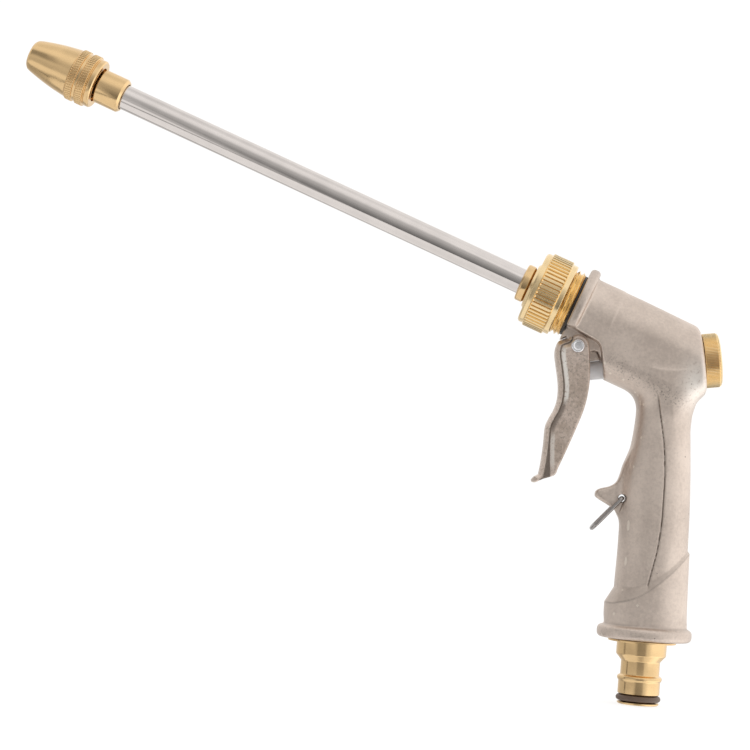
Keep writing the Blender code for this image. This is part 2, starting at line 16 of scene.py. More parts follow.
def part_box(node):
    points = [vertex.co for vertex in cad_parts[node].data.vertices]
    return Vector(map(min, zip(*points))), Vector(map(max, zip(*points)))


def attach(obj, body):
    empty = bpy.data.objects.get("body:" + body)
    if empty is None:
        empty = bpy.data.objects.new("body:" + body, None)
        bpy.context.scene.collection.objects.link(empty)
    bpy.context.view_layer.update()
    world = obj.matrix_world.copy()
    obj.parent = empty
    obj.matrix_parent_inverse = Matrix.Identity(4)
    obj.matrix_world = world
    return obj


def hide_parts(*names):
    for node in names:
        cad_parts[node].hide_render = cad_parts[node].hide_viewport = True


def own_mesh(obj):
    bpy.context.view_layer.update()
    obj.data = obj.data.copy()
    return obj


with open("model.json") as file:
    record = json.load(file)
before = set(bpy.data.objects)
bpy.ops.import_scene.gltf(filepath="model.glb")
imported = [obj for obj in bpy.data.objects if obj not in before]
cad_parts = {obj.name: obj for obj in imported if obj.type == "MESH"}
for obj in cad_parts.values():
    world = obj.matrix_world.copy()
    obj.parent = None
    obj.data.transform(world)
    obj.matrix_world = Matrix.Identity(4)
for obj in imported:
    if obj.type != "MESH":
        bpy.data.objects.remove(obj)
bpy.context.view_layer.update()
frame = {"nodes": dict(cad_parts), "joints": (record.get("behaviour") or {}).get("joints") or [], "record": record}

MM = 0.001
BODY_OF = {node: body for body, nodes in frame["record"]["behaviour"]["bodies"].items() for node in nodes}
INLET_X = sum(corner[0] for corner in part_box("hose_connector")) / 2 / MM
JOINT = {joint["name"]: joint for joint in frame["joints"]}


# ---------------------------------------------------------------- axes of the frame
def from_inlet(place):
    """Millimetres from the inlet's axis, which all the outlines here are drawn from."""
    return (place[0] / MM - INLET_X, place[1] / MM, place[2] / MM)


def at_inlet(x=0.0, y=0.0, z=0.0):
    """Matrix that moves a piece drawn round (x, y, z) to its place in the frame."""
    return Matrix.Translation(((x + INLET_X) * MM, y * MM, z * MM))


class Axis:
    """A line in the plane Y = 0: heights run along it, `off` points away from it towards +Z."""

    def __init__(self, origin, direction):
        self.x0, self.z0 = from_inlet(origin)[0], origin[2] / MM
        size = math.hypot(direction[0], direction[2])
        self.ax, self.az = direction[0] / size, direction[2] / size
        sign = 1.0 if self.ax <= 0 else -1.0
        self.ux, self.uz = sign * self.az, -sign * self.ax

    def height(self, x, z):
        return (x - self.x0) * self.ax + (z - self.z0) * self.az

    def off(self, x, z):
        return (x - self.x0) * self.ux + (z - self.z0) * self.uz

    def point(self, height, off=0.0):
        return (self.x0 + height * self.ax + off * self.ux, self.z0 + height * self.az + off * self.uz)

    def matrix(self):
        z_axis = Vector((self.ax, 0.0, self.az))
        y_axis = Vector((0.0, 1.0, 0.0))
        turn = Matrix((y_axis.cross(z_axis), y_axis, z_axis)).transposed().to_4x4()
        return at_inlet(self.x0, 0.0, self.z0) @ turn


LANCE = Axis(JOINT["wand_spin"]["pos_m"], JOINT["wand_spin"]["axis"])
VALVE = Axis(JOINT["knob_turn"]["pos_m"], JOINT["knob_turn"]["axis"])
INLET = Axis((INLET_X * MM, 0.0, 0.0), (0.0, 0.0, 1.0))
PIVOT = from_inlet(JOINT["trigger_squeeze"]["pos_m"])
CATCH = from_inlet(JOINT["catch_swing"]["pos_m"])


# ---------------------------------------------------------------- distance fields (millimetres)
def join(a, b, blend):
    """Union of two fields with a fillet about `blend` wide."""
    near = np.maximum(blend - np.abs(a - b), 0.0) / blend
    return np.minimum(a, b) - near * near * blend / 4


def meet(a, b, blend):
    """Intersection with a rounded edge."""
    return -join(-a, -b, blend)


def cut(a, b, blend=0.3):
    """a without b."""
    return meet(a, -b, blend)


def curve(points, closed=False, steps=5):
    """Catmull-Rom curve through the points."""
    points = [np.array(p, float) for p in points]
    count = len(points)
    result = []
    for i in range(count if closed else count - 1):
        if closed:
            a, b, c, d = (points[(i + k - 1) % count] for k in range(4))
        else:
            a, b, c, d = points[max(i - 1, 0)], points[i], points[i + 1], points[min(i + 2, count - 1)]
        for k in range(steps):
            t = k / steps
            result.append(0.5 * (2 * b + (c - a) * t + (2 * a - 5 * b + 4 * c - d) * t ** 2
                                 + (3 * b - a - 3 * c + d) * t ** 3))
    if not closed:
        result.append(points[-1])
    return [tuple(p) for p in result]


def edge_distance(points, x, z, closed):
    """Unsigned distance in the side view to a line of points, and the even-odd inside test."""
    nearest = np.full(np.broadcast(x, z).shape, 1e9)
    inside = np.zeros(nearest.shape, bool)
    ends = points[1:] + points[:1] if closed else points[1:]
    for (x0, z0), (x1, z1) in zip(points, ends):
        ex, ez = x1 - x0, z1 - z0
        t = np.clip(((x - x0) * ex + (z - z0) * ez) / (ex * ex + ez * ez), 0.0, 1.0)
        nearest = np.minimum(nearest, (x - x0 - ex * t) ** 2 + (z - z0 - ez * t) ** 2)
        if ez:
            inside ^= ((z0 <= z) != (z1 <= z)) & (x < x0 + (z - z0) * ex / ez)
    return np.sqrt(nearest), inside


def outline(points, x, z):
    """Signed distance to a closed outline in the side view."""
    distance, inside = edge_distance(points, x, z, True)
    return np.where(inside, -distance, distance)


def plate(points, half, x, y, z, blend=0.8):
    """Outline thickened to both sides of Y = 0."""
    return meet(outline(points, x, z), np.abs(y) - half, blend)


def round_bar(axis, radius, low, high, x, y, z, rounding=0.3):
    """Cylinder between two heights of an axis, with rounded rims."""
    dr = np.hypot(axis.off(x, z), y) - radius + rounding
    dh = np.abs(axis.height(x, z) - (low + high) / 2) - (high - low) / 2 + rounding
    return np.hypot(np.maximum(dr, 0), np.maximum(dh, 0)) + np.minimum(np.maximum(dr, dh), 0) - rounding


def cross_bar(place, radius, x, z):
    """Cylinder along Y through (x, z)."""
    return np.hypot(x - place[0], z - place[2]) - radius


def section(u, v, reach, side, power):
    """Roughly the distance to a rounded-square section with half sizes `reach` and `side`."""
    rho = (np.abs(u / reach) ** power + np.abs(v / side) ** power) ** (1 / power)
    return (1 - 1 / np.maximum(rho, 0.05)) * np.hypot(u, v)


def station_table(stations):
    """Smooth tables of height, front, back and half width."""
    return np.array(curve(stations)).T


def lofted(table, x, y, z, power=2.5):
    """Column whose section changes with height as a station table says."""
    front, back, half = (np.interp(z, table[0], table[i]) for i in (1, 2, 3))
    return section(x - (front + back) / 2, y, (back - front) / 2, half, power)


def surface_net(field, low, high, step):
    """Vertices and quads of field = 0: one vertex per mixed cell, one quad per crossed grid edge."""
    axes = [np.arange(a, b, step) for a, b in zip(low, high)]
    values = field(axes[0][:, None, None], axes[1][None, :, None], axes[2][None, None, :])
    inside = values < 0
    nx, ny, nz = (n - 1 for n in values.shape)
    corners = [inside[i:nx + i, j:ny + j, k:nz + k] for i, j, k in itertools.product((0, 1), repeat=3)]
    mixed = np.logical_or.reduce(corners) & ~np.logical_and.reduce(corners)
    cells = np.argwhere(mixed)
    index = np.full(mixed.shape, -1)
    index[mixed] = np.arange(len(cells))
    total, crossings = np.zeros((len(cells), 3)), np.zeros(len(cells))
    for axis in range(3):
        unit = np.eye(3, dtype=int)[axis]
        others = [np.eye(3, dtype=int)[i] for i in range(3) if i != axis]
        for p, q in itertools.product((0, 1), repeat=2):
            start = cells + p * others[0] + q * others[1]
            a, b = values[tuple(start.T)], values[tuple((start + unit).T)]
            crossed = (a < 0) != (b < 0)
            share = a[crossed] / (a[crossed] - b[crossed])
            total[crossed] += start[crossed] + share[:, None] * unit
            crossings += crossed
    vertices = np.array(low) + step * total / crossings[:, None]
    quads = []
    for axis in range(3):
        unit, u, v = (np.eye(3, dtype=int)[(axis + i) % 3] for i in range(3))
        first = inside[tuple(slice(0, n - k) for n, k in zip(inside.shape, unit))]
        second = inside[tuple(slice(k, n) for n, k in zip(inside.shape, unit))]
        for outward, flips in ((True, first & ~second), (False, ~first & second)):
            g = np.argwhere(flips)
            ring = [index[tuple((g - offset).T)] for offset in (u + v, v, 0 * u, u)]
            quads.append(np.stack(ring if outward else ring[::-1], axis=1))
    return vertices, np.concatenate(quads)


def settle(points, field, step, rounds=3):
    """Moves the vertices onto the field's surface."""
    for _ in range(rounds):
        value = field(*points.T)
        slope = np.stack([field(*(points + d).T) - field(*(points - d).T)
                          for d in 0.02 * np.eye(3)], axis=1) / 0.04
        move = value[:, None] * slope / np.maximum((slope ** 2).sum(1), 0.2)[:, None]
        points = points - np.clip(move, -step / 2, step / 2)
    return points


def mesh_object(name, vertices, faces, matrix=None, sharp=32.0):
    """Smooth-shaded object from vertices in millimetres."""
    mesh = bpy.data.meshes.new(name)
    mesh.from_pydata((np.asarray(vertices) * MM).tolist(), [], np.asarray(faces).tolist())
    work = bmesh.new()
    work.from_mesh(mesh)
    bmesh.ops.remove_doubles(work, verts=work.verts, dist=1e-7)
    work.to_mesh(mesh)
    work.free()
    mesh.shade_smooth()
    if sharp:
        mesh.set_sharp_from_angle(angle=math.radians(sharp))
    made = bpy.data.objects.new(name, mesh)
    bpy.context.scene.collection.objects.link(made)
    if matrix is not None:
        made.matrix_world = matrix
    return made


def sculpt(name, node, field, step, origin):
    """Piece whose surface is field = 0 inside its CAD node's box, with its origin at a point of its joint."""
    low, high = (np.array(from_inlet(corner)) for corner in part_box(node))
    vertices, quads = surface_net(field, low - 3 * step, high + 3 * step, step)
    return mesh_object(name, settle(vertices, field, step) - origin, quads, at_inlet(*origin), sharp=None)


def paint(piece, origin, **layers):
    """Point attributes for the finishes and the painted highlight and shade, each a function of x, y and z in
    millimetres.
    """
    mesh = piece.data
    places = np.empty(3 * len(mesh.vertices))
    mesh.vertices.foreach_get("co", places)
    x, y, z = (places.reshape(-1, 3) / MM + origin).T
    for name, rule in layers.items():
        values = np.clip(rule(x, y, z), 0.0, 1.0)
        mesh.attributes.new(name, "FLOAT", "POINT").data.foreach_set("value", values)


def stand_in(piece, node, finish):
    """Puts a visual piece in its CAD node's place."""
    piece.data.materials.append(finish)
    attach(piece, BODY_OF[node])
    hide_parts(node)
    return piece


# ---------------------------------------------------------------- procedural materials
class Nodes:
    """Short-hand for building a node material; coordinates are in millimetres."""

    def __init__(self, name):
        self.material = bpy.data.materials.new(name)
        self.material.use_nodes = True
        self.tree = self.material.node_tree
        self.shader = self.tree.nodes["Principled BSDF"]
        place = self.add("ShaderNodeTexCoord").outputs["Object"]
        self.place = self.add("ShaderNodeVectorMath", operation="SCALE",
                              inputs={0: place, "Scale": 1 / MM}).outputs[0]

    def add(self, kind, inputs=None, **settings):
        node = self.tree.nodes.new(kind)
        for key, value in settings.items():
            setattr(node, key, value)
        for key, value in (inputs or {}).items():
            self.feed(node.inputs[key], value)
        return node

    def feed(self, socket, value):
        if isinstance(value, bpy.types.NodeSocket):
            self.tree.links.new(value, socket)
        elif socket.type == "RGBA" and len(value) == 3:
            socket.default_value = (*value, 1.0)
        else:
            socket.default_value = value

    def set(self, **values):
        """Feeds the shader: set(Base_Color=..., Roughness=...)."""
        for key, value in values.items():
            self.feed(self.shader.inputs[key.replace("_", " ")], value)

    def math(self, operation, *values, clamp=False):
        return self.add("ShaderNodeMath", inputs=dict(enumerate(values)), operation=operation,
                        use_clamp=clamp).outputs[0]

    def stretch(self, x, y, z):
        """Coordinates scaled along each axis."""
        return self.add("ShaderNodeVectorMath", operation="MULTIPLY",
                        inputs={0: self.place, 1: (x, y, z)}).outputs[0]

    def noise(self, per_mm, detail=4.0, roughness=0.55, place=None):
        inputs = {"Vector": place or self.place, "Scale": per_mm, "Detail": detail, "Roughness": roughness}
        return self.add("ShaderNodeTexNoise", inputs=inputs).outputs["Fac"]

    def ramp(self, value, low, high, start=0.0, end=1.0, smooth=True):
        """Maps low..high to start..end."""
        kind = "SMOOTHSTEP" if smooth else "LINEAR"
        inputs = {"Value": value, "From Min": low, "From Max": high, "To Min": start, "To Max": end}
        return self.add("ShaderNodeMapRange", inputs=inputs, interpolation_type=kind).outputs["Result"]

    def mix_colours(self, share, first, second):
        """Colour mix; sockets 6 and 7 are the colour inputs, output 2 the colour result."""
        node = self.add("ShaderNodeMix", data_type="RGBA")
        self.feed(node.inputs[0], share)
        self.feed(node.inputs[6], first)
        self.feed(node.inputs[7], second)
        return node.outputs[2]

    def bump(self, *layers):
        """Chains (height, strength, depth in mm) layers into the shader's normal."""
        normal = None
        for height, strength, depth in layers:
            inputs = {"Height": height, "Strength": strength, "Distance": depth * MM}
            if normal is not None:
                inputs["Normal"] = normal
            normal = self.add("ShaderNodeBump", inputs=inputs).outputs["Normal"]
        self.set(Normal=normal)

    def layer(self, name):
        """A painted point attribute; 0 where the mesh has none."""
        return self.add("ShaderNodeAttribute", attribute_name=name).outputs["Fac"]

    def edges(self):
        """0 in hollows, 0.5 on flats, 1 on worn edges."""
        return self.ramp(self.add("ShaderNodeNewGeometry").outputs["Pointiness"], 0.40, 0.60, smooth=False)


def cast_metal(name, light, dark, roughness, grain, pits):
    """Satin plated casting: cloudy tone, fine grain, small pits, worn edges, painted shade in the hollows, and
    painted highlight and painted shade from point attributes.
    """
    n = Nodes(name)
    clouds = n.noise(0.06, detail=3)
    mottle = n.noise(0.9, detail=5, roughness=0.7)
    fine = n.noise(3.2, detail=3, roughness=0.8)
    tone = n.math("ADD", n.math("MULTIPLY", clouds, 0.5), n.math("MULTIPLY", mottle, 0.5))
    colour = n.mix_colours(n.ramp(tone, 0.35, 0.65), dark, light)
    worn = n.ramp(n.edges(), 0.62, 0.9, 0.0, 0.55)
    colour = n.mix_colours(worn, colour, tuple(min(1.0, c * 1.35) for c in light))
    # Painted shade: darker in the hollows.
    hollow_shade = n.ramp(n.edges(), 0.36, 0.12, 0.0, 0.8)
    colour = n.mix_colours(hollow_shade, colour, tuple(c * 0.35 for c in dark))
    grains = n.ramp(n.noise(1.3, detail=4, roughness=0.75), 0.52, 0.66)
    colour = n.mix_colours(n.math("MULTIPLY", n.layer("pitted"), n.math("MULTIPLY", grains, 0.7)), colour,
                           tuple(c * 0.35 for c in dark))
    # Painted highlight: the painted layer lightens the heel and the trigger's bevel, and a thin rim along the
    # trigger's front edge.
    highlight_and_rub = n.math("MULTIPLY", n.layer("worn"), n.ramp(mottle, 0.32, 0.46))
    colour = n.mix_colours(highlight_and_rub, colour, (1.0, 0.96, 0.90))
    # Painted shade: the painted layer darkens the groove, the cuff's lines, the trigger's crease and bend, and a
    # little the bead.
    colour = n.mix_colours(n.layer("deep"), colour, tuple(c * 0.25 for c in dark))
    cell = n.add("ShaderNodeTexVoronoi", inputs={"Vector": n.place, "Scale": 0.55, "Randomness": 1.0})
    spot = n.ramp(cell.outputs["Distance"], 0.20, 0.08)
    chosen = n.ramp(cell.outputs["Color"], 1.0 - pits, 1.0 - pits + 0.02)
    pit = n.math("MULTIPLY", spot, chosen)
    colour = n.mix_colours(n.math("MULTIPLY", pit, 0.85), colour, tuple(c * 0.3 for c in dark))
    n.set(Base_Color=colour, Metallic=0.92)
    rough = n.math("ADD", n.ramp(mottle, 0.3, 0.7, roughness - 0.05, roughness + 0.06),
                   n.math("MULTIPLY", pit, 0.2))
    n.set(Roughness=rough)
    height = n.math("ADD", fine, n.math("MULTIPLY", mottle, 0.6))
    n.bump((height, grain, 0.06), (n.math("SUBTRACT", 1.0, pit), 0.1, 0.05))
    return n.material


def turned_metal(name, base, deep, roughness, rings=0.12):
    """Metal off a lathe: fine rings along the piece's axis, faint handling marks, painted shade in the grooves."""
    n = Nodes(name)
    split = n.add("ShaderNodeSeparateXYZ", inputs={0: n.place})
    radius = n.math("POWER", n.math("ADD", n.math("POWER", split.outputs[0], 2.0),
                                    n.math("POWER", split.outputs[1], 2.0)), 0.5)
    cut_path = n.add("ShaderNodeCombineXYZ", inputs={0: radius, 2: split.outputs[2]}).outputs[0]
    lathe = n.noise(5.0, detail=2, roughness=0.7, place=cut_path)
    smudge = n.noise(0.18, detail=4)
    colour = n.mix_colours(n.ramp(smudge, 0.3, 0.7), tuple(c * 0.93 for c in base), base)
    # Painted shade: the hollows and grooves darken towards the shade colour.
    hollow_shade = n.ramp(n.edges(), 0.42, 0.1, 0.0, 0.9)
    colour = n.mix_colours(hollow_shade, colour, deep)
    n.set(Base_Color=colour, Metallic=1.0)
    rough = n.math("ADD", n.ramp(smudge, 0.3, 0.7, roughness - 0.04, roughness + 0.05),
                   n.ramp(lathe, 0.3, 0.7, -0.02, 0.04))
    n.set(Roughness=rough)
    n.bump((lathe, rings, 0.02))
    return n.material


def drawn_metal(name, base, roughness, grain=0.1):
    """Drawn or rolled metal with faint lines along the piece."""
    n = Nodes(name)
    lines = n.noise(1.0, detail=3, place=n.stretch(4.0, 4.0, 0.05))
    smudge = n.noise(0.12, detail=4)
    colour = n.mix_colours(n.ramp(smudge, 0.3, 0.7), tuple(c * 0.92 for c in base), base)
    n.set(Base_Color=colour, Metallic=1.0)
    n.set(Roughness=n.math("ADD", n.ramp(smudge, 0.3, 0.7, roughness - 0.03, roughness + 0.04),
                           n.ramp(lines, 0.3, 0.7, -0.01, 0.03)))
    n.bump((lines, grain, 0.01))
    return n.material


def soft_material(name, base, roughness, scatter=0.0, grain=0.2):
    """Rubber or nylon: faint cloudiness and a fine moulded grain."""
    n = Nodes(name)
    clouds = n.noise(0.25, detail=4)
    fine = n.noise(4.0, detail=3)
    n.set(Base_Color=n.mix_colours(n.ramp(clouds, 0.3, 0.7), tuple(c * 0.88 for c in base), base))
    n.set(Roughness=n.ramp(fine, 0.3, 0.7, roughness - 0.06, roughness + 0.08))
    if scatter:
        n.set(Subsurface_Weight=scatter, Subsurface_Radius=(1.0, 1.0, 1.0), Subsurface_Scale=1.5 * MM)
    n.bump((fine, grain, 0.03))
    return n.material


CAST = cast_metal("satin_cast", (0.785, 0.68, 0.60), (0.62, 0.53, 0.465), 0.44, 0.4, 0.14)
CAST_DARK = cast_metal("dark_cast", (0.82, 0.70, 0.62), (0.55, 0.45, 0.375), 0.42, 0.7, 0.1)
BRASS = turned_metal("brass", (0.85, 0.60, 0.315), (0.34, 0.18, 0.06), 0.16)
# Painted light: the thread's brass is a lighter copy of the brass, to offset the shade in its grooves.
BRASS_LIT_THREAD = turned_metal("thread_brass", (0.97, 0.74, 0.40), (0.58, 0.33, 0.13), 0.20, rings=0.02)
BRASS_BRIGHT = turned_metal("knurled_brass", (0.97, 0.75, 0.43), (0.48, 0.27, 0.10), 0.20)
STEEL_TUBE = drawn_metal("polished_tube", (0.78, 0.735, 0.71), 0.09)
STEEL = drawn_metal("plain_steel", (0.62, 0.61, 0.60), 0.28, 0.2)
WIRE = drawn_metal("catch_wire", (0.42, 0.40, 0.39), 0.25, 0.2)
RIVET = turned_metal("rivet_metal", (0.86, 0.86, 0.88), (0.35, 0.35, 0.36), 0.24, 0.3)
RUBBER = soft_material("black_rubber", (0.035, 0.028, 0.024), 0.42)
TAIL_RUBBER = soft_material("ring_rubber", (0.15, 0.098, 0.070), 0.45)
NYLON = soft_material("white_nylon", (0.93, 0.93, 0.95), 0.38, scatter=0.15, grain=0.08)


# ---------------------------------------------------------------- cast body
GRIP = station_table([
    (20.0, -12.2, 15.3, 12.6), (44.4, -12.2, 15.2, 12.6), (59.4, -11.9, 14.9, 12.4),
    (74.2, -12.0, 14.6, 12.4),
    (87.3, -12.0, 14.0, 12.3), (99.0, -9.7, 13.2, 11.9), (108.5, -8.7, 12.5, 11.3),
    (115.6, -8.6, 12.3, 10.8),
    (126.0, -8.8, 12.0, 10.5)])
CUFF = station_table([(20.0, -15.1, 16.8, 14.4), (30.0, -15.1, 16.6, 14.3), (37.0, -15.5, 16.2, 14.0),
                      (61.0, -15.0, 15.6, 13.2), (70.0, -15.0, 15.5, 13.2)])
SWOOSH_TOP = np.array(curve([(-13.0, 44.2), (-6.8, 44.7), (-0.4, 46.3), (4.0, 49.5), (8.9, 53.9),
                             (14.2, 59.4),
                             (18.0, 63.0)])).T
SWOOSH_LOW = np.array(curve([(-13.0, 38.3), (-10.7, 38.9), (-5.9, 40.3), (-0.9, 43.1), (4.0, 47.0),
                             (8.9, 51.5),
                             (14.2, 57.5), (18.0, 61.6)])).T
GROOVE = np.array(curve([(46.0, -0.1), (51.6, 1.0), (59.5, 2.5), (69.4, 3.4), (79.2, 3.5), (89.0, 3.3),
                         (98.9, 2.4), (105.7, 1.2), (113.6, -0.4), (120.0, -1.6)])).T
BARREL_R, BEAD_R, UPPER_HALF = 13.13, 16.15, 13.1
UPPER_DEPTH, UPPER_CORNER = 21.0, 9.0
REAR_FACE, WALL, LEDGE = 2.4, -36.3, -8.6
FLANGE_LOW, FLANGE_TOP = 24.9, 29.8


def palm_panel(x, y, z):
    """Height of the raised panel behind the groove line, and the groove itself."""
    behind = x - np.interp(z, GROOVE[0], GROOVE[1])
    rise = np.interp(z, [104.0, 116.0], [0.45, 0.9])
    raised = np.interp(behind, [-0.35, 0.0, 0.35, 5.0, 10.0], [0.0, -0.45, 1.0, 1.0, 0.0])
    soft = np.where(raised < 0, 1.0, rise)
    ends = np.interp(z, [44.0, 46.0, 117.0, 121.0], [0.0, 1.0, 1.0, 0.0])
    sides = np.interp(np.abs(y), [5.0, 9.0], [0.0, 1.0])
    return raised * soft * ends * sides


def grip_field(x, y, z):
    plain = lofted(GRIP, x, y, z) - palm_panel(x, y, z)
    cuff = lofted(CUFF, x, y, z)
    top, low = np.interp(x, *SWOOSH_TOP), np.interp(x, *SWOOSH_LOW)
    share = np.clip((top - z) / (top - low), 0.0, 1.0)
    column = plain * (1 - share) + cuff * share
    column = np.maximum(column, np.maximum(FLANGE_LOW + 1.0 - z, z - 125.0))
    flange = section(x - 0.55, y, 18.15, 16.6, 2.15)
    flange = meet(flange, np.abs(z - (FLANGE_LOW + FLANGE_TOP) / 2) - (FLANGE_TOP - FLANGE_LOW) / 2, 2.2)
    return join(column, flange, 1.0)


def upper_field(x, y, z):
    """Slot-shaped section along the lance, with its lower rear corner swept up to the heel."""
    s, off, side = LANCE.height(x, z), LANCE.off(x, z), np.abs(y)
    off = off + np.interp(s, [0.0, 28.0], [0.5, 0.0]) * np.clip(off / 6.0, 0.0, 1.0)
    middle = (UPPER_HALF - UPPER_DEPTH) / 2
    corner = np.where(off > middle, UPPER_HALF, UPPER_CORNER)
    dy, dz = side - UPPER_HALF + corner, np.abs(off - middle) - (UPPER_HALF + UPPER_DEPTH) / 2 + corner
    slot = np.hypot(np.maximum(dy, 0), np.maximum(dz, 0)) + np.minimum(np.maximum(dy, dz), 0) - corner
    slot = np.maximum(slot, s - 47.6)
    heel = outline([(10.6, 60.0), (10.6, 112.5), (13.1, 117.3), (17.3, 120.4), (24.0, 121.2), (60.0, 121.2),
                    (60.0, 60.0)], x, z)
    upper = cut(slot, heel, 8.0)
    barrel = round_bar(LANCE, BARREL_R, 36.0, 48.0, x, y, z)
    bead = round_bar(LANCE, BEAD_R, 47.5, 51.5, x, y, z, rounding=1.6)
    return meet(join(upper, join(barrel, bead, 1.0), 0.6), VALVE.height(x, z) - REAR_FACE, 2.0)


TRIGGER_SPACE = ([VALVE.point(WALL, -40.0), VALVE.point(WALL, -8.0), VALVE.point(WALL, 0.0)]
                 + curve([(-23.9, 134.0), (-24.6, 136.0), (-25.8, 137.3), (-27.8, 138.4)])
                 + [LANCE.point(48.0, LEDGE), LANCE.point(70.0, LEDGE), (-80.0, 90.0)])
SPUR = curve([(-7.0, 70.0), (-12.2, 71.6), (-14.7, 74.1), (-21.1, 77.6), (-22.1, 79.0), (-21.7, 80.5),
              (-20.1, 81.5), (-16.6, 82.6), (-14.2, 84.4), (-12.7, 87.3), (-11.0, 92.2), (-7.0, 95.0)],
              closed=True)
LUG = ([LANCE.point(51.45, -6.0), LANCE.point(51.45, -12.2), (-40.2, 137.6), (-37.6, 138.8)]
       + [(PIVOT[0] + 3.6 * math.cos(math.radians(a)), PIVOT[2] + 3.6 * math.sin(math.radians(a)))
          for a in range(164, 301, 17)]
       + [(-28.6, 133.2), (-26.9, 134.1), (-25.2, 133.7), (-23.7, 130.2), (-17.5, 130.0),
          LANCE.point(26.0, -4.0)])
RIB = [(-27.4, 135.0), (-29.4, 132.0), VALVE.point(-43.0, 3.68), VALVE.point(-34.0, 3.68), (-19.0, 137.0)]


def leg_sweep(first=40.0, last=70.0, reach=17.0, room=1.15):
    """Outline of the space that a catch leg sweeps, between two angles below the horizontal."""
    a, b = math.radians(first), math.radians(last)
    x, _, z = CATCH
    return [(x + room * math.sin(b), z + room), (x + room * math.sin(b), z - room * math.cos(b)),
            (x - reach * math.cos(b) + room * math.sin(b), z - reach * math.sin(b) - room * math.cos(b)),
            (x - reach * math.cos(a) - room * math.sin(a), z - reach * math.sin(a) + room * math.cos(a)),
            (x - room * math.sin(a), z + room * math.cos(a))]


LEG_SWEEP = leg_sweep()
PITTED_FROM, PITTED_TO = (-19.5, 129.5), (8.0, 116.0)


def body_field(x, y, z):
    body = cut(upper_field(x, y, z), outline(TRIGGER_SPACE, x, z), 0.7)
    body = join(body, plate(RIB, 1.8, x, y, z, 0.4), 0.5)
    body = join(body, plate(LUG, 5.7, x, y, z, 0.7), 0.5)
    body = join(body, grip_field(x, y, z), 6.0)
    body = join(body, plate(SPUR, 4.3, x, y, z, 1.6), 3.0)
    body = cut(body, plate(LEG_SWEEP, 1.05, x, np.abs(y) - 5.45, z, 0.2), 0.2)
    bores = [round_bar(LANCE, 5.5, 22.0, 41.0, x, y, z), round_bar(LANCE, 7.9, 40.0, 60.0, x, y, z),
             round_bar(VALVE, 3.9, -50.0, -26.0, x, y, z), round_bar(VALVE, 5.3, -31.4, -29.2, x, y, z),
             round_bar(VALVE, 5.0, -27.0, -19.0, x, y, z), round_bar(VALVE, 7.0, -19.6, -5.0, x, y, z),
             round_bar(VALVE, 8.5, -5.6, 20.0, x, y, z), round_bar(INLET, 10.5, 10.0, 39.2, x, y, z),
             round_bar(INLET, 5.0, 38.0, 129.5, x, y, z),
             cross_bar(PIVOT, 2.3, x, z), cross_bar(CATCH, 1.5, x, z)]
    for bore in bores:
        body = cut(body, bore, 0.3)
    return body


def body_deep(x, y, z):
    """Painted shade in the groove, on the cuff's slope and along its lower line, and where the cuff meets the
    flange; the bead is made a little darker.
    """
    behind = x - np.interp(z, GROOVE[0], GROOVE[1])
    groove = np.exp(-(behind / 0.28) ** 2) * np.interp(z, [45.0, 46.5, 117.0, 120.0],
                                                       [0.0, 0.75, 0.75, 0.0])
    top, low = np.interp(x, *SWOOSH_TOP), np.interp(x, *SWOOSH_LOW)
    slope = 0.16 * ((z > low) & (z < top))
    line = 0.45 * np.exp(-((z - low) / 0.3) ** 2)
    foot = 0.30 * np.exp(-((z - FLANGE_TOP - 0.4) / 0.45) ** 2)
    near = np.abs(y) > 3.0
    bead = 0.14 * np.interp(LANCE.height(x, z), [46.8, 48.0], [0.0, 1.0])
    return np.maximum(np.maximum(np.maximum(groove, slope), np.maximum(line, foot)) * near, bead)


# Painted highlight on the heel: its centre, size and strength.
HEEL_X, HEEL_Z = 12.5, 123.5
HEEL_WIDTH, HEEL_HEIGHT = 5.0, 8.0
HEEL_HIGHLIGHT = 0.75


def body_worn(x, y, z):
    """Painted highlight on the heel behind the upper body."""
    return HEEL_HIGHLIGHT * np.exp(-((x - HEEL_X) / HEEL_WIDTH) ** 2 - ((z - HEEL_Z) / HEEL_HEIGHT) ** 2)


def body_pitted(x, y, z):
    """Rough skin along the lower edge of the upper body, a little on the flange."""
    away, _ = edge_distance([PITTED_FROM, PITTED_TO], x, z, False)
    return np.maximum(np.interp(away, [1.0, 4.5], [1.0, 0.0]), 0.3 * (z < FLANGE_TOP))


def make_body():
    step = 0.4
    origin = (0.0, 0.0, 0.0)
    body = sculpt("cast_body", "body_casting", body_field, step, origin)
    # Painted shade in the groove and along the cuff, a painted highlight on the heel; the pitting is the casting's
    # own.
    paint(body, origin, deep=body_deep, pitted=body_pitted, worn=body_worn)
    stand_in(body, "body_casting", CAST)


# ---------------------------------------------------------------- trigger
TRIGGER_FRONT = curve([(-37.4, 138.2), (-40.2, 136.9), (-41.3, 135.0), (-41.6, 131.8), (-40.9, 127.9),
                       (-40.1, 124.1), (-39.3, 119.1), (-39.4, 114.2), (-40.4, 110.4), (-42.0, 107.0),
                       (-43.2, 103.4), (-43.4, 96.6), (-43.9, 89.7), (-44.5, 85.1)])
TRIGGER_LIP = [(-46.2, 84.0), (-47.2, 82.7), (-46.6, 81.8), (-45.4, 81.8)]
TRIGGER_BACK = curve([(-42.4, 83.4), (-38.8, 84.8), (-37.7, 86.0), (-37.1, 88.0), (-34.5, 94.8),
                      (-31.3, 103.7),
                      (-29.0, 110.8), (-27.9, 116.7), (-27.5, 122.6), (-27.8, 128.3), (-28.3, 133.0),
                      (-28.8, 136.2)])
TRIGGER_EYE = [(PIVOT[0] + 4.2 * math.cos(math.radians(a)), PIVOT[2] + 4.2 * math.sin(math.radians(a)))
               for a in range(25, 126, 10)]
CHEEK, CHANNEL_HALF, WEB = 8.15, 6.0, 2.3


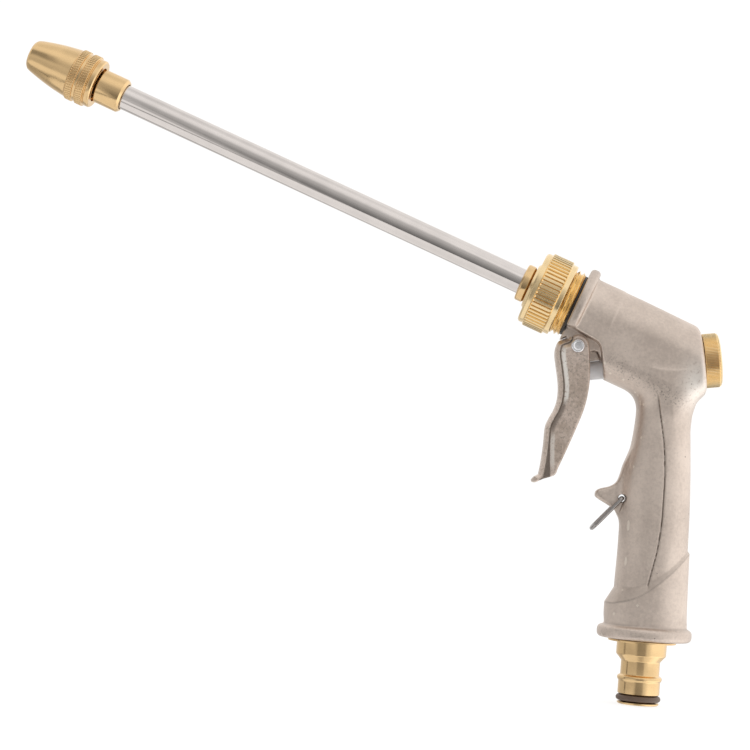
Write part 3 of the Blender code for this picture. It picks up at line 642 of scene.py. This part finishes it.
def trigger_field(x, y, z):
    """Channel-shaped lever: a chamfer along the front edge, a crease behind it, a bevel up to the cheek."""
    front, _ = edge_distance(TRIGGER_FRONT + TRIGGER_LIP, x, z, False)
    along = front - np.clip(front - 2.25, 0.0, crease_wedge(z))
    half = np.interp(along, [0.0, 1.8, 2.1, 2.35, 4.1], [4.7, 7.3, 6.75, 6.85, CHEEK])
    tongue = outline([(-41.0, 80.5), (-48.2, 85.5), (-50.3, 80.5), (-42.4, 77.3)], x, z)
    body = meet(outline(TRIGGER_FRONT + TRIGGER_LIP + TRIGGER_BACK + TRIGGER_EYE, x, z),
                0.75 * (np.abs(y) - half), 0.7)
    body = cut(body, np.maximum(tongue, 4.3 - np.abs(y)), 0.6)
    channel = np.maximum(WEB - front, np.maximum(86.6 - z, np.abs(y) - CHANNEL_HALF))
    behind = outline([(-37.9, 142.0)] + [(px + WEB, pz) for px, pz in TRIGGER_FRONT[8:-2]]
                     + [(-42.2, 86.6), (-37.0, 82.0), (-15.0, 94.0), (-15.0, 142.0)], x, z)
    channel = np.maximum(channel, behind)
    body = cut(body, channel, 0.5)
    return cut(body, cross_bar(PIVOT, 2.3, x, z), 0.3)


def crease_wedge(z):
    """How much wider than a line the crease behind the front chamfer is."""
    return np.interp(z, [83.0, 90.0, 97.0], [2.6, 1.0, 0.0])


def trigger_worn(x, y, z):
    """Painted highlight on the bevel behind the crease, broken where the lever bends, and a lighter rim along the
    front edge and round the lip.
    """
    front, _ = edge_distance(TRIGGER_FRONT + TRIGGER_LIP, x, z, False)
    behind = front - 2.4 - crease_wedge(z)
    strip = np.interp(behind, [0.0, 0.25, 1.5, 1.9], [0.0, 1.0, 1.0, 0.0])
    strip *= np.interp(z, [86.0, 90.0, 99.0, 102.0, 112.0, 115.0, 133.0, 135.5],
                       [0.0, 0.6, 0.6, 0.0, 0.0, 1.0, 1.0, 0.0])
    rim = 0.35 * np.interp(front, [0.0, 0.9], [1.0, 0.0])
    return np.maximum(strip, rim) * (np.abs(y) > 4.0)


def trigger_deep(x, y, z):
    """Painted shade in the crease behind the chamfer, in its wedge at the lower end and on the bend."""
    front, _ = edge_distance(TRIGGER_FRONT + TRIGGER_LIP, x, z, False)
    crease = np.interp(front - np.clip(front - 2.2, 0.0, crease_wedge(z)), [1.7, 2.0, 2.3, 2.6],
                       [0.0, 0.8, 0.8, 0.0])
    bend = 0.55 * np.interp(front, [1.9, 2.2, 3.4, 4.0], [0.0, 1.0, 1.0, 0.0])
    bend *= np.interp(z, [100.0, 103.0, 111.0, 114.0], [0.0, 1.0, 1.0, 0.0])
    return np.maximum(crease, bend) * (np.abs(y) > 4.0)


def make_trigger():
    step = 0.26
    trigger = sculpt("trigger_casting", "trigger_lever", trigger_field, step, PIVOT)
    # Painted highlight on the bevel and painted shade in the crease and bend; the pitting is the casting's own.
    paint(trigger, PIVOT, worn=trigger_worn, deep=trigger_deep, pitted=lambda x, y, z: 0.7 + 0.0 * x)
    stand_in(trigger, "trigger_lever", CAST_DARK)


# ---------------------------------------------------------------- turned pieces
def soften(points, radius, closed=False, steps=3):
    """Rounds the corners of a profile."""
    points = [np.array(p, float) for p in points]
    count = len(points)
    result = []
    for i, corner in enumerate(points):
        if not closed and i in (0, count - 1):
            result.append(tuple(corner))
            continue
        before, after = points[i - 1] - corner, points[(i + 1) % count] - corner
        a, b = np.linalg.norm(before), np.linalg.norm(after)
        reach = min(radius, 0.45 * a, 0.45 * b)
        first, last = corner + before / a * reach, corner + after / b * reach
        for k in range(steps + 1):
            t = k / steps
            result.append(tuple((1 - t) ** 2 * first + 2 * t * (1 - t) * corner + t * t * last))
    return result


def divide(points, longest, low, high, closed):
    """Splits the profile's spans between two heights into steps no longer than `longest`."""
    result = []
    ends = points[1:] + (points[:1] if closed else [])
    for (r0, h0), (r1, h1) in zip(points, ends):
        result.append((r0, h0))
        if min(h0, h1) < high and max(h0, h1) > low:
            count = int(math.hypot(r1 - r0, h1 - h0) / longest)
            result += [(r0 + (r1 - r0) * k / (count + 1), h0 + (h1 - h0) * k / (count + 1))
                       for k in range(1, count + 1)]
    if not closed:
        result.append(points[-1])
    return result


def turned(name, outside, axis, finish, bore=None, segments=96, rounding=0.12, relief=None, matrix=None,
           node=None):
    """Sweeps a profile round an axis. `outside` and `bore` list (radius, height) upwards.

    relief is (function of radius, height and angle giving a depth, low, high, longest step): it is taken
    off the radius of the outside between two heights."""
    closed = bore is not None
    profile = soften(list(outside) + (list(bore)[::-1] if closed else []), rounding, closed)
    outer = soften(list(outside), rounding)
    if relief:
        profile = divide(profile, relief[3], relief[1], relief[2], closed)
    radius, height = (np.array(c)[:, None] for c in zip(*profile))
    angle = np.linspace(0.0, math.tau, segments, endpoint=False)[None, :]
    swept = np.broadcast_to(radius, (len(profile), segments)).copy()
    if relief:
        depth = relief[0](radius, height, angle)
        limit = np.interp(height, [h for _, h in outer], [r for r, _ in outer])
        swept = swept - np.where(radius > 0.9 * limit, depth, 0.0)
    vertices = np.stack([swept * np.cos(angle), swept * np.sin(angle),
                         np.broadcast_to(height, swept.shape)], axis=2)
    rows = len(profile)
    i = np.arange(rows if closed else rows - 1)[:, None]
    j = np.arange(segments)[None, :]
    up, around = (i + 1) % rows, (j + 1) % segments
    faces = np.stack([i * segments + j, i * segments + around, up * segments + around, up * segments + j],
                     axis=2)
    made = mesh_object(name, vertices.reshape(-1, 3), faces.reshape(-1, 4), matrix or axis.matrix())
    return stand_in(made, node, finish)


def window(height, low, high, fade):
    """1 between two heights, falling smoothly to 0 at the ends."""
    ramp = np.clip(np.minimum(height - low, high - height) / fade, 0.0, 1.0)
    return np.sqrt(1 - (1 - ramp) ** 2)


def flutes(count, depth, low, high, fade, twist=0.0, width=0.25):
    """Straight or slanted grooves round a band."""
    def relief(radius, height, angle):
        wave = np.cos(count * angle + twist * (height - low))
        groove = np.clip(0.5 + wave / (4 * width), 0.0, 1.0)
        return depth * groove * groove * (3 - 2 * groove) * window(height, low, high, fade)
    return relief


def thread(depth, pitch, low, high):
    """Helical V thread."""
    def relief(radius, height, angle):
        phase = (height / pitch - angle / math.tau) % 1.0
        return depth * np.clip(np.abs(2 * phase - 1) * 1.25 - 0.1, 0.0, 1.0) * window(height, low, high, 0.4)
    return relief


def make_nut():
    """Union nut with straight flutes between two plain bands."""
    outer, band = 15.12, 14.37
    outside = [(band - 0.3, 56.5), (band, 56.8), (band, 58.5), (outer, 58.9), (outer, 67.0), (band, 67.4),
               (band, 68.9), (band - 0.6, 69.6), (9.4, 69.6), (8.4, 70.6)]
    relief = (flutes(54, 0.75, 58.8, 67.1, 0.7), 58.4, 67.5, 0.14)
    turned("union_nut", outside, LANCE, BRASS_BRIGHT,
           bore=[(13.7, 56.5), (13.7, 66.8), (7.8, 66.8), (7.8, 70.6)],
           segments=54 * 12, relief=relief, node="collar_nut")


def make_spigot():
    crest = 13.22
    outside = [(7.6, 40.5), (7.6, 52.5), (12.4, 52.5), (crest, 53.0), (crest, 61.0), (12.2, 61.5)]
    relief = (thread(1.1, 1.814, 52.7, 61.3), 52.6, 61.4, 0.14)
    turned("threaded_spigot", outside, LANCE, BRASS_LIT_THREAD, bore=[(5.5, 40.5), (5.5, 61.5)], segments=160,
           relief=relief, node="outlet_spigot")
    turned("shoulder_gasket", [(12.25, 51.52), (12.25, 52.48)], LANCE, RUBBER,
           bore=[(7.9, 51.52), (7.9, 52.48)], rounding=0.2, node="spigot_gasket")


def make_wand():
    turned("wand_ferrule_turned",
           [(12.6, 63.9), (12.6, 65.5), (7.4, 65.5), (7.4, 69.9), (6.7, 70.2), (6.7, 70.9), (7.4, 71.3),
            (7.4, 73.8),
            (6.9, 74.3)], LANCE, BRASS, bore=[(4.2, 63.9), (4.2, 66.9), (5.3, 66.9), (5.3, 74.3)],
           rounding=0.3, node="wand_ferrule")
    turned("wand_tube_drawn", [(5.0, 67.2), (5.0, 254.0)], LANCE, STEEL_TUBE,
           bore=[(4.2, 67.2), (4.2, 254.0)], node="wand_tube")


def make_nozzle():
    outside = [(5.5, 246.6), (6.1, 246.7), (6.85, 247.6), (6.85, 257.0), (5.5, 257.3), (5.5, 262.7),
               (4.5, 262.8),
               (4.5, 264.4), (5.5, 264.5), (5.5, 266.0), (3.0, 266.0), (3.0, 274.6), (3.9, 276.6),
               (3.9, 278.6),
               (1.5, 283.4), (1.5, 285.4), (0.001, 285.4)]
    turned("nozzle_stem_turned", outside, LANCE, BRASS,
           bore=[(5.3, 246.6), (5.3, 254.3), (2.0, 254.3), (2.0, 273.6), (0.001, 273.6)],
           node="nozzle_stem")
    band, ring = 9.75, 10.42
    outside = [(9.3, 258.0), (9.75, 258.5), (9.75, 260.1), (9.45, 260.35), (9.45, 260.7), (ring, 261.0),
               (ring, 263.8), (band, 264.1), (band, 265.2), (ring, 265.5), (ring, 268.1)]
    outside += curve([(9.85, 268.6), (9.62, 270.5), (8.92, 275.2), (7.92, 280.0), (6.75, 284.6),
                      (6.1, 286.5)])
    outside += [(5.2, 287.4)]
    rings = [flutes(60, 0.3, low, high, 0.35, twist=1.1) for low, high in ((260.9, 263.9), (265.4, 268.2))]

    def relief(radius, height, angle):
        return rings[0](radius, height, angle) + rings[1](radius, height, angle)

    bore = [(7.0, 258.0), (7.0, 260.0), (5.95, 260.0), (5.95, 269.4), (6.6, 270.6), (6.0, 277.0),
            (2.4, 284.4),
            (2.4, 287.4)]
    turned("nozzle_sleeve_turned", outside, LANCE, BRASS, bore=bore, segments=480,
           relief=(relief, 260.6, 268.5, 0.16), rounding=0.15, node="nozzle_sleeve")


def make_inlet():
    seat = 24.6
    outside = [(7.6, 0.0), (8.0, 0.35), (8.0, 0.9), (6.0, 1.0), (6.0, 3.9), (8.05, 4.0), (8.05, 8.9),
               (8.6, 9.6),
               (8.6, 10.4), (8.3, 10.9), (7.5, 11.3), (7.5, 16.6), (9.6, 19.0), (9.6, 23.8), (13.1, 23.8),
               (13.1, seat), (10.2, seat), (10.2, 36.6)]
    turned("hose_tail", outside, INLET, BRASS, bore=[(4.9, 0.0), (4.9, 36.6)], rounding=0.3,
           node="hose_connector")
    torus("tail_oring", 7.45, 2.45, 1.14, INLET, TAIL_RUBBER, "connector_oring")


def torus(name, mid_radius, height, radius, axis, finish, node):
    angles = np.linspace(-math.pi / 2, math.pi / 2, 13)
    outside = [(mid_radius + radius * math.cos(a), height + radius * math.sin(a)) for a in angles]
    inside = [(mid_radius - radius * math.cos(a), height + radius * math.sin(a)) for a in angles[1:-1]]
    turned(name, outside, axis, finish, bore=inside, rounding=0.02, node=node)


def make_valve_parts():
    dome = [(0.001, -51.0), (1.4, -50.8), (2.6, -50.1), (3.6, -48.9)]
    turned("plunger_moulded", dome + [(3.6, -24.5), (1.9, -24.5), (1.9, -31.0), (0.001, -31.0)], VALVE, NYLON,
           segments=64, node="push_plunger")


def make_knob():
    radius, seat = 10.5, REAR_FACE + 0.3
    outside = [(8.2, -5.2), (8.2, -3.6), (6.9, -3.5), (6.9, -1.3), (8.2, -1.2), (8.2, seat),
               (radius - 0.3, seat),
               (radius, seat + 0.3), (radius, 7.9), (radius - 0.5, 8.7), (radius - 1.4, 9.1), (4.0, 9.4),
               (0.001, 9.4)]
    pocket = [(4.7, -5.2), (4.7, 1.3), (2.4, 1.3), (2.4, 7.2), (0.001, 7.2)]
    turned("flow_knob_turned", outside, VALVE, BRASS_BRIGHT, bore=pocket, segments=104 * 8,
           relief=(flutes(104, 0.34, seat + 0.1, 8.5, 0.4), seat, 8.7, 0.3), node="flow_knob")


def make_rivet():
    inside, outside, head = CHEEK + 0.3, CHEEK + 1.35, 2.7
    half = [(2.0, inside), (head, inside), (head, outside - 0.45), (head - 0.5, outside), (1.8, outside),
            (1.4, outside - 0.2), (0.001, outside - 0.25)]
    mirrored = [(radius, -height) for radius, height in reversed(half)]
    across = at_inlet(*PIVOT) @ Matrix.Rotation(math.pi / 2, 4, "X")
    turned("trigger_rivet", mirrored + half, None, RIVET, segments=64, rounding=0.25, matrix=across,
           node="trigger_pin")


def make_spring():
    """Compression spring that rides the valve."""
    radius, wire = 3.7, 0.4
    low, high = -12.4, -0.4
    turns, per_turn = 5, 40
    drawn = bpy.data.curves.new("spring_path", "CURVE")
    drawn.dimensions = "3D"
    drawn.bevel_depth = wire * MM
    drawn.bevel_resolution = 4
    drawn.use_fill_caps = True
    spline = drawn.splines.new("POLY")
    count = turns * per_turn
    spline.points.add(count)
    for i, point in enumerate(spline.points):
        a = math.tau * i / per_turn
        height = low + (high - low) * i / count
        point.co = (radius * math.cos(a) * MM, radius * math.sin(a) * MM, height * MM, 1.0)
    path = bpy.data.objects.new("spring_path", drawn)
    made = bpy.data.objects.new("valve_spring_coil", bpy.data.meshes.new_from_object(path))
    bpy.data.objects.remove(path)
    bpy.context.scene.collection.objects.link(made)
    made.matrix_world = VALVE.matrix()
    stand_in(made, "valve_spring", STEEL)
    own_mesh(made)


def make_catch():
    """Wire loop hooked into the spur from both sides."""
    wire, leg, reach, drop = 0.8, 5.4, 16.2, math.radians(49.0)
    side = [(0.0, 1.6), (0.0, leg - 0.9), (0.35, leg - 0.2), (1.2, leg), (reach - 3.2, leg),
            (reach - 0.9, leg - 0.9), (reach, leg - 2.8)]
    path = curve(side + [(along, -across) for along, across in reversed(side)], steps=4)
    drawn = bpy.data.curves.new("catch_path", "CURVE")
    drawn.dimensions = "3D"
    drawn.bevel_depth = wire * MM
    drawn.bevel_resolution = 6
    drawn.use_fill_caps = True
    spline = drawn.splines.new("POLY")
    spline.points.add(len(path) - 1)
    for point, (along, across) in zip(spline.points, path):
        point.co = (-along * math.cos(drop) * MM, across * MM, -along * math.sin(drop) * MM, 1.0)
    spline.use_smooth = True
    made = bpy.data.objects.new("catch_loop", drawn)
    bpy.context.scene.collection.objects.link(made)
    made.matrix_world = at_inlet(*CATCH)
    stand_in(made, "wire_catch", WIRE)


# ---------------------------------------------------------------- carried-over nodes
HIDDEN_FINISHES = {
    "valve_stem": BRASS, "valve_seat": BRASS, "disc_retainer": BRASS, "spring_seat": STEEL,
    "slip_ring": STEEL, "stop_ring": STEEL, "valve_disc": RUBBER, "inlet_washer": RUBBER,
    "union_washer": RUBBER,
    "gland_oring": RUBBER, "knob_oring": RUBBER, "nozzle_oring": RUBBER}


def finish_hidden_nodes():
    for node, finish in HIDDEN_FINISHES.items():
        mesh = frame["nodes"][node].data
        mesh.materials.clear()
        mesh.materials.append(finish)


# ---------------------------------------------------------------- floor, light and camera
# Level of the studio by elevation, what azimuth adds to it between the two horizon limits, and patches of
# (azimuth, elevation, half width, half height, softness, level). Degrees; azimuth 0 is the camera's side,
# +90 the knob's side.
BY_ELEVATION = [(-90, 0.42), (-84, 0.30), (-81, 0.30), (-76, 0.90), (-41, 0.96), (-38, 0.36), (-20, 0.48),
                (-5, 0.58), (12, 0.71), (43, 0.93), (62, 0.98), (78, 0.84), (90, 0.76)]
BY_AZIMUTH = [(-180, 0.30), (-125, 0.06), (-92, 0.05), (-89, -0.45), (-85, -0.45), (-82, 0.03), (-60, 0.00),
              (-26, 0.02), (-20, -0.22), (14, -0.18), (24, 0.26), (60, 0.34), (120, 0.52), (180, 0.30)]
HORIZON = (-39, -36, 22, 48)
PATCHES = [(-62, -24, 30, 9, 4, 0.95), (-62, 28, 34, 14, 8, 0.34), (85, -35, 45, 26, 14, 1.45)]


class Studio:
    """Node set-up that gives the studio's brightness in a direction."""

    def __init__(self, tree):
        self.tree = tree

    def add(self, kind, values=(), **settings):
        node = self.tree.nodes.new(kind)
        for key, value in settings.items():
            setattr(node, key, value)
        for key, value in dict(values).items():
            if isinstance(value, bpy.types.NodeSocket):
                self.tree.links.new(value, node.inputs[key])
            else:
                node.inputs[key].default_value = value
        return node

    def maths(self, operation, *values):
        return self.add("ShaderNodeMath", dict(enumerate(values)), operation=operation).outputs[0]

    def span(self, value, low, high, start, end):
        return self.add("ShaderNodeMapRange",
                        {"Value": value, "From Min": low, "From Max": high, "To Min": start,
                                               "To Max": end}, interpolation_type="SMOOTHSTEP").outputs[0]

    def graded(self, value, stops):
        """Sum of smooth steps through the stops."""
        total = stops[0][1]
        for (low, before), (high, after) in zip(stops, stops[1:]):
            if after != before:
                total = self.maths("ADD", total, self.span(value, low, high, 0.0, after - before))
        return total

    def level(self, x, y, z):
        elevation = self.maths("MULTIPLY", self.maths("ARCSINE", z), 180 / math.pi)
        azimuth = self.maths("MULTIPLY", self.maths("ARCTAN2", x, self.maths("MULTIPLY", y, -1.0)),
                             180 / math.pi)
        near = self.maths("MULTIPLY", self.span(elevation, HORIZON[0], HORIZON[1], 0.0, 1.0),
                          self.span(elevation, HORIZON[2], HORIZON[3], 1.0, 0.0))
        level = self.maths("ADD", self.graded(elevation, BY_ELEVATION),
                           self.maths("MULTIPLY", near, self.graded(azimuth, BY_AZIMUTH)))
        for centre, height, wide, tall, soft, goal in PATCHES:
            share = 1.0
            for angle, middle, half in ((azimuth, centre, wide), (elevation, height, tall)):
                away = self.maths("ABSOLUTE", self.maths("SUBTRACT", angle, middle))
                away = self.maths("MINIMUM", away, self.maths("SUBTRACT", 360.0, away))
                share = self.maths("MULTIPLY", share, self.span(away, half - soft, half + soft, 1.0, 0.0))
            level = self.maths("ADD", level,
                               self.maths("MULTIPLY", share, self.maths("SUBTRACT", goal, level)))
        warm = {0: level, 1: self.maths("MULTIPLY", level, 0.985), 2: self.maths("MULTIPLY", level, 0.97)}
        return self.add("ShaderNodeCombineColor", warm).outputs[0]

    def seen_by_camera(self):
        return self.add("ShaderNodeLightPath").outputs["Is Camera Ray"]


def make_floor():
    """White ground with a faint shadow; reflections see it as part of the studio."""
    bpy.ops.mesh.primitive_circle_add(vertices=96, radius=6.0, fill_type="NGON", location=(0, 0, -0.0003))
    floor = bpy.context.object
    floor.name = "floor"
    n = Nodes("pale_floor")
    grain = n.noise(0.02, detail=3)
    n.set(Base_Color=n.mix_colours(grain, (0.28, 0.28, 0.28), (0.31, 0.31, 0.31)), Roughness=0.8,
          Specular_IOR_Level=0.0, Emission_Color=(1.0, 1.0, 1.0), Emission_Strength=0.8)
    studio = Studio(n.tree)
    back = studio.add("ShaderNodeSeparateXYZ",
                      {0: studio.add("ShaderNodeNewGeometry").outputs["Incoming"]}).outputs
    away = [studio.maths("MULTIPLY", part, -1.0) for part in back]
    glow = studio.add("ShaderNodeEmission", {"Color": studio.level(*away)})
    chosen = studio.add("ShaderNodeMixShader", {0: studio.seen_by_camera(), 1: glow.outputs[0],
                                                2: n.shader.outputs[0]})
    n.tree.links.new(chosen.outputs[0], n.tree.nodes["Material Output"].inputs["Surface"])
    floor.data.materials.append(n.material)


def make_world():
    """White to the camera; to the object a softly graded white studio."""
    world = bpy.data.worlds.new("studio")
    world.use_nodes = True
    world.node_tree.nodes.clear()
    studio = Studio(world.node_tree)
    split = studio.add("ShaderNodeSeparateXYZ", {0: studio.add("ShaderNodeTexCoord").outputs["Generated"]})
    light = studio.add("ShaderNodeBackground", {"Color": studio.level(*split.outputs)})
    backdrop = studio.add("ShaderNodeBackground", {"Color": (1.0, 1.0, 1.0, 1.0), "Strength": 1.05})
    chosen = studio.add("ShaderNodeMixShader", {0: studio.seen_by_camera(), 1: light.outputs[0],
                                                2: backdrop.outputs[0]})
    studio.add("ShaderNodeOutputWorld", {"Surface": chosen.outputs[0]})
    bpy.context.scene.world = world


def area_light(name, place, aim, size, watts, colour=(1.0, 1.0, 1.0)):
    data = bpy.data.lights.new(name, "AREA")
    data.shape = "RECTANGLE"
    data.size, data.size_y = size
    data.energy = watts
    data.color = colour
    lamp = bpy.data.objects.new(name, data)
    bpy.context.scene.collection.objects.link(lamp)
    lamp.location = place
    lamp.rotation_mode = "QUATERNION"
    lamp.rotation_quaternion = (Vector(aim) - Vector(place)).to_track_quat("-Z", "Y")
    lamp.visible_glossy = False


def make_lights():
    centre = at_inlet(-30.0, 0.0, 110.0).translation
    area_light("overhead", at_inlet(60.0, -250.0, 1200.0).translation, centre, (1.2, 0.8), 2.0)


def make_camera():
    data = bpy.data.cameras.new("camera")
    data.sensor_width, data.lens = 36.0, 109.6
    camera = bpy.data.objects.new("camera", data)
    bpy.context.scene.collection.objects.link(camera)
    place, aim, roll = Vector((-59.1, -885.7, 76.7)), Vector((-110.4, 0.0, 118.6)), math.radians(4.45)
    look = (aim - place).to_track_quat("-Z", "Y").to_matrix().to_4x4()
    camera.matrix_world = at_inlet(*place) @ look @ Matrix.Rotation(roll, 4, "Z")
    data.clip_start = 0.01
    bpy.context.scene.camera = camera


make_body()
make_trigger()
make_nut()
make_spigot()
make_wand()
make_nozzle()
make_inlet()
make_valve_parts()
make_knob()
make_rivet()
make_spring()
make_catch()
finish_hidden_nodes()
make_floor()
make_world()
make_lights()
make_camera()
bpy.context.scene.view_settings.view_transform = "Standard"
